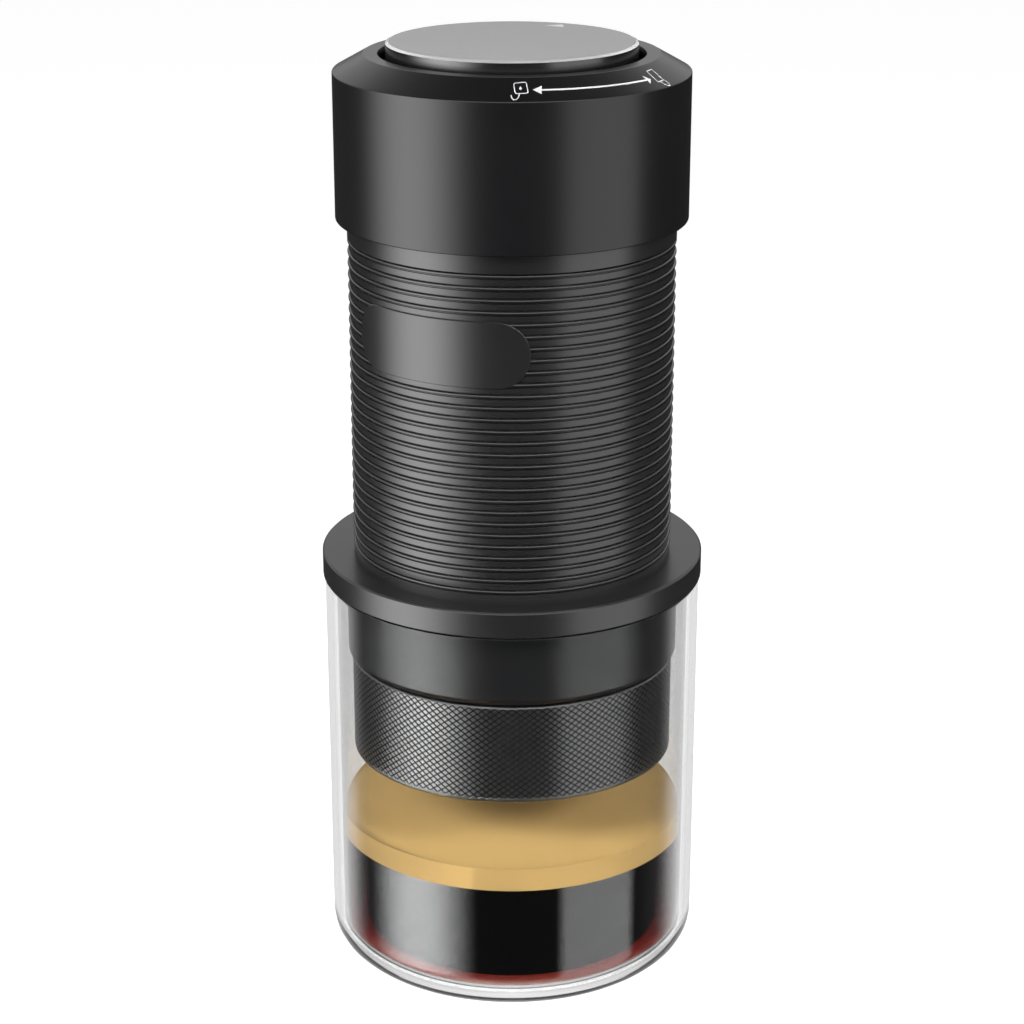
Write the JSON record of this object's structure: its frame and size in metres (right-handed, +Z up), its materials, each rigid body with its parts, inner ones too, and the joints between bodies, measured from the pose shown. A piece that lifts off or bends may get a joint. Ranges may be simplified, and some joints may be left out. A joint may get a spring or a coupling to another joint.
{
  "type": "manual espresso maker",
  "caption": "Hand-pumped espresso maker: screw cap with twist-lock pump knob, ribbed water tank and knurled filter holder, standing in its double-walled glass cup.",
  "frame": {"origin": "centre of the glass cup's flat base, where the set stands", "axes": "+Z up along the common turning axis; -Y is the front, where the smooth pad is"},
  "size_m": [0.0718, 0.0718, 0.1761],
  "materials": {
    "clear_glass": "polished clear borosilicate",
    "espresso": "wet, near black",
    "crema": "fine foam",
    "black_anodised": "black satin anodised",
    "ribbed_anodised": "black satin anodised, turned ribs",
    "knurled_anodised": "black anodised, diamond knurl",
    "knob_anodised": "dark satin with a bright cut bevel",
    "grey_plate": "light grey bead-blasted matte",
    "black_moulding": "moulded, fine texture",
    "smoke_moulding": "smooth moulded",
    "silicone": "soft matte silicone",
    "stainless": "brushed stainless",
    "spring_steel": "drawn wire",
    "ground_coffee": "pressed grounds"
  },
  "bodies": {
    "cup": {"cup_outer_wall": "clear_glass", "cup_inner_vessel": "clear_glass", "espresso": "espresso", "crema": "crema"},
    "maker": {"brew_collar": "black_anodised", "cup_flange": "black_anodised", "rim_gasket": "silicone", "head_core": "black_moulding", "core_ring": "silicone", "outlet_retainer": "black_moulding", "outlet_spring": "spring_steel", "shower_screen": "stainless", "screen_screw": "stainless", "head_gasket": "silicone", "tank_sleeve": "ribbed_anodised", "tank_liner": "smoke_moulding", "tank_gasket": "silicone"},
    "outlet_valve": {"outlet_poppet": "black_moulding"},
    "basket": {"filter_basket": "stainless", "coffee_puck": "ground_coffee"},
    "holder": {"filter_holder": "knurled_anodised", "spout_plate": "stainless"},
    "cap_seal_ring": {"cap_seal": "silicone"},
    "cap": {"cap_shell": "black_anodised", "cap_insert": "black_moulding", "pump_cylinder": "stainless", "cylinder_gasket": "silicone", "rod_guide": "black_moulding", "deck_screws": "stainless", "cylinder_foot": "black_moulding", "foot_ring": "silicone", "flap_clip": "stainless", "return_spring": "spring_steel"},
    "inlet_valve": {"inlet_flap": "silicone"},
    "plunger": {"pump_rod": "stainless", "piston": "black_moulding", "piston_seals": "silicone", "thrust_washer": "black_moulding", "knob_screw": "stainless"},
    "knob": {"knob_shell": "knob_anodised", "knob_plate": "grey_plate", "knob_hub": "black_moulding", "hub_screws": "stainless"}
  },
  "joints": [
    {"name": "maker_lift", "type": "slide", "parent": "cup", "child": "maker", "axis": [0, 0, 1], "range_m": [0, 0.08]},
    {"name": "outlet_open", "type": "slide", "parent": "maker", "child": "outlet_valve", "axis": [0, 0, -1], "range_m": [0, 0.0012], "stiffness_N_per_m": 400, "springref_m": -0.0008, "deforming": ["outlet_spring"]},
    {"name": "holder_drop", "type": "slide", "parent": "maker", "child": "basket", "axis": [0, 0, -1], "range_m": [0, 0.0045]},
    {"name": "holder_turn", "type": "hinge", "parent": "basket", "child": "holder", "pos_m": [0, 0, 0.051], "axis": [0, 0, -1], "range_deg": [0, 540]},
    {"name": "cap_rise", "type": "slide", "parent": "maker", "child": "cap_seal_ring", "axis": [0, 0, 1], "range_m": [0, 0.0045]},
    {"name": "cap_turn", "type": "hinge", "parent": "cap_seal_ring", "child": "cap", "pos_m": [0, 0, 0.16], "axis": [0, 0, 1], "range_deg": [0, 540]},
    {"name": "inlet_open", "type": "slide", "parent": "cap", "child": "inlet_valve", "axis": [0, 0, 1], "range_m": [0, 0.001]},
    {"name": "pump_stroke", "type": "slide", "parent": "cap", "child": "plunger", "axis": [0, 0, 1], "range_m": [0, 0.02], "deforming": ["return_spring"]},
    {"name": "knob_twist", "type": "hinge", "parent": "plunger", "child": "knob", "pos_m": [0, 0, 0.17], "axis": [0, 0, 1], "range_deg": [-54, 0]}
  ],
  "couplings": [
    {"joint": "holder_drop", "follows": "holder_turn", "m_per_rad": 0.00047746},
    {"joint": "cap_rise", "follows": "cap_turn", "m_per_rad": 0.00047746}
  ]
}
